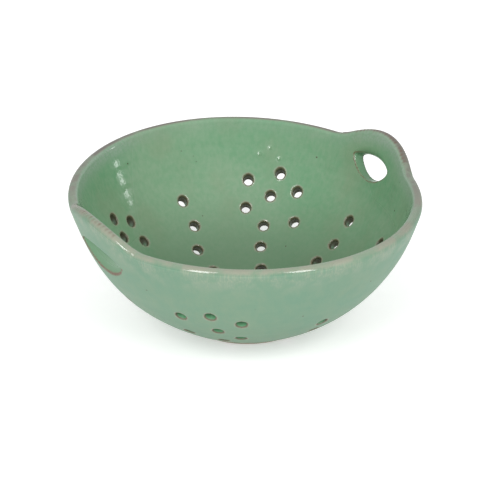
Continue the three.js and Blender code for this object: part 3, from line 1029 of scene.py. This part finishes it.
def celadon_glaze():
    """Glossy green glaze that breaks to taupe on the lip, rust at sharp edges and brown in the holes. It
    has painted shade towards the bottom of the wall and partly in the bores and at the back rim, and
    painted light in bright green on the up-facing walls of the outer holes.
    """
    material, tree, shader, place = new_material("celadon_glaze")
    broad = pattern(tree, place, **BROAD)
    cloud = pattern(tree, place, **CLOUD)
    mottle = pattern(tree, place, **MOTTLE)
    grain = pattern(tree, place, **GRAIN)
    streak = pattern(tree, place, **STREAK)
    low = layer(tree, "low")
    rim = layer(tree, "rim")
    bore = layer(tree, "bore")
    inside = layer(tree, "inside")
    outside = stepped(tree, inside, *OUTER_HALF)

    # Body colours of the two faces, both painted darker towards the bottom of the wall as painted shade
    within = mixed(tree, weighted(tree, (broad, streak, mottle), INNER_TINT), DEEP_GREEN, LIGHT_GREEN)
    within = mixed(tree, scaled(tree, pattern(tree, place, **PATCH), OLIVE_SHARE), within, OLIVE)
    within = mixed(tree, scaled(tree, low, INNER_LOW_SHADE), within, LOW_SHADE_GREEN)
    without = mixed(tree, weighted(tree, (cloud, streak, broad), OUTER_TINT), BLUE_GREEN, GREY_GREEN)
    without = mixed(tree, scaled(tree, low, OUTER_LOW_SHADE), without, LOW_SHADE_GREEN)
    colour = mixed(tree, inside, without, within)

    # Breaks at the rim and at edges, each laid over the ones before it
    hairs = product(tree, pattern(tree, place, **HAIRS), scaled(tree, cloud, *RUN_CLOUD))
    runs = product(tree, stepped(tree, rim, *RUN_RIM), hairs, outside, RUN_SHARE)
    veil = product(tree, stepped(tree, rim, *VEIL_RIM), cloud, outside, VEIL_SHARE)
    thin = product(tree, layer(tree, "thin"), scaled(tree, grain, *THIN_GRAIN))
    crest = product(tree, layer(tree, "crest"), scaled(tree, cloud, *CREST_CLOUD))
    lip = product(tree, stepped(tree, rim, *LIP_RIM), stepped(tree, cloud, *LIP_CLOUD))
    # Taupe on the lip: bare clay, and towards the back rim partly painted shade
    bare_and_shade = product(tree, layer(tree, "bare_and_shade"), lip)
    halo = product(tree, layer(tree, "halo"), stepped(tree, grain, *HALO_GRAIN), HALO_SHARE)
    mark = product(tree, layer(tree, "mark"), scaled(tree, mottle, *MARK_MOTTLE))
    breaks = [
        (runs, BEIGE), (veil, ASH), (thin, SAGE), (crest, BLUSH), (bare_and_shade, TAUPE), (halo, PALE_PINK),
        # The green on the outer holes' up-facing walls is painted light, and the brown of the bores is
        # partly painted shade
        (layer(tree, "lit_well"), LIT_WELL_GREEN), (layer(tree, "cut"), CUT_GREEN), (layer(tree, "ring"), RUST),
        (bore, IRON_AND_SHADE_BROWN), (mark, RUST), (specks(tree, place), IRON_AND_SHADE_BROWN),
    ]
    for share, tone in breaks:
        colour = mixed(tree, share, colour, tone)
    put(tree, shader.inputs["Base Color"], colour)

    rough = scaled(tree, layer(tree, "satin"), *SATIN_ROUGHNESS)
    put(tree, shader.inputs["Roughness"], scaled(tree, bore, BORE_ROUGHNESS, rough))
    bump = tree.nodes.new("ShaderNodeBump")
    put(tree, bump.inputs["Strength"], BUMP_STRENGTH)
    put(tree, bump.inputs["Distance"], BUMP_HEIGHT)
    put(tree, bump.inputs["Height"], grain)
    put(tree, shader.inputs["Normal"], bump.outputs["Normal"])
    return material


def thin_glaze():
    """Buff foot with a thin wiped glaze that darkens to umber at the face it stands on."""
    material, tree, shader, place = new_material("thin_glaze")
    wiping = pattern(tree, place, **WIPING)
    split = tree.nodes.new("ShaderNodeSeparateXYZ")
    put(tree, split.inputs[0], place)
    wiped = stepped(tree, split.outputs["Z"], *WIPED_HEIGHTS)
    colour = mixed(tree, wiping, BUFF, GREY_GREEN)
    put(tree, shader.inputs["Base Color"], mixed(tree, wiped, colour, UMBER))
    put(tree, shader.inputs["Roughness"], WIPED_ROUGHNESS)
    return material


CLAY = clay_mesh()
PIECES = [finish_piece(name, form) for name, form in split_clay(CLAY).items()]
bpy.data.meshes.remove(CLAY)
GLAZE = celadon_glaze()
for piece in PIECES:
    piece.data.materials.append(GLAZE)
foot_ring().data.materials.append(thin_glaze())

# Camera at the photograph's view
VIEW_AZIMUTH = -33.8
VIEW_ELEVATION = 27.728
VIEW_DISTANCE = 0.9
VIEW_LENS = 132.5
SENSOR_WIDTH = 36
CLIP_START = 0.01
VIEW_AIM = (0, 0, 0.03543)
VIEW_SHIFT = (-0.01448, 0.02115)


def seen_from(azimuth, elevation, distance):
    """Place at a distance, at an elevation and an azimuth from -Y, both in degrees."""
    way = math.radians(azimuth)
    rise = math.radians(elevation)
    level = distance * math.cos(rise)
    return Vector((level * math.sin(way), -level * math.cos(way), distance * math.sin(rise)))


def look_at(obj, target):
    obj.rotation_euler = (Vector(target) - obj.location).to_track_quat("-Z", "Y").to_euler()


def add_camera():
    data = bpy.data.cameras.new("camera")
    data.lens = VIEW_LENS
    data.sensor_width = SENSOR_WIDTH
    data.clip_start = CLIP_START
    data.shift_x, data.shift_y = VIEW_SHIFT
    camera = bpy.data.objects.new("camera", data)
    camera.location = Vector(VIEW_AIM) + seen_from(VIEW_AZIMUTH, VIEW_ELEVATION, VIEW_DISTANCE)
    bpy.context.scene.collection.objects.link(camera)
    look_at(camera, VIEW_AIM)
    bpy.context.scene.camera = camera


# Studio: soft white light all round, a pale floor, two tall light boxes and a low strip at the right
WHITE = (1, 1, 1, 1)
ROOM_LIGHT = 0.70
FLOOR_SIZE = 4
FLOOR_COLOUR = (0.85, 0.85, 0.85, 1)
FLOOR_ROUGHNESS = 0.9
FLOOR_SPECULAR = 0.1
FLOOR_GLOW = 0.36
LAMP_DISTANCE = 1.45
LAMPS = [
    dict(name="left_box", azimuth=-32.5, elevation=38, width=0.30, length=0.8, power=8.5),
    dict(name="right_box", azimuth=37.5, elevation=38, width=0.30, length=0.8, power=8.0),
    dict(name="side_strip", azimuth=106.5, elevation=11.5, width=0.065, length=0.26, power=0.45),
]


def add_floor():
    s = FLOOR_SIZE
    mesh = bpy.data.meshes.new("floor")
    mesh.from_pydata([(-s, -s, 0), (s, -s, 0), (s, s, 0), (-s, s, 0)], [], [(0, 1, 2, 3)])
    floor = bpy.data.objects.new("floor", mesh)
    bpy.context.scene.collection.objects.link(floor)
    paper = bpy.data.materials.new("pale_floor")
    paper.use_nodes = True
    shader = paper.node_tree.nodes["Principled BSDF"]
    shader.inputs["Base Color"].default_value = FLOOR_COLOUR
    shader.inputs["Roughness"].default_value = FLOOR_ROUGHNESS
    shader.inputs["Specular IOR Level"].default_value = FLOOR_SPECULAR
    shader.inputs["Emission Color"].default_value = WHITE
    shader.inputs["Emission Strength"].default_value = FLOOR_GLOW
    mesh.materials.append(paper)


def add_lights():
    world = bpy.data.worlds.new("studio")
    world.use_nodes = True
    room = world.node_tree.nodes["Background"]
    room.inputs["Color"].default_value = WHITE
    room.inputs["Strength"].default_value = ROOM_LIGHT
    bpy.context.scene.world = world
    for lamp in LAMPS:
        data = bpy.data.lights.new(lamp["name"], "AREA")
        data.shape = "RECTANGLE"
        data.size = lamp["width"]
        data.size_y = lamp["length"]
        data.energy = lamp["power"]
        box = bpy.data.objects.new(lamp["name"], data)
        box.location = seen_from(VIEW_AZIMUTH + lamp["azimuth"], lamp["elevation"], LAMP_DISTANCE)
        bpy.context.scene.collection.objects.link(box)
        look_at(box, VIEW_AIM)


add_camera()
add_floor()
add_lights()
bpy.context.scene.view_settings.view_transform = "Standard"
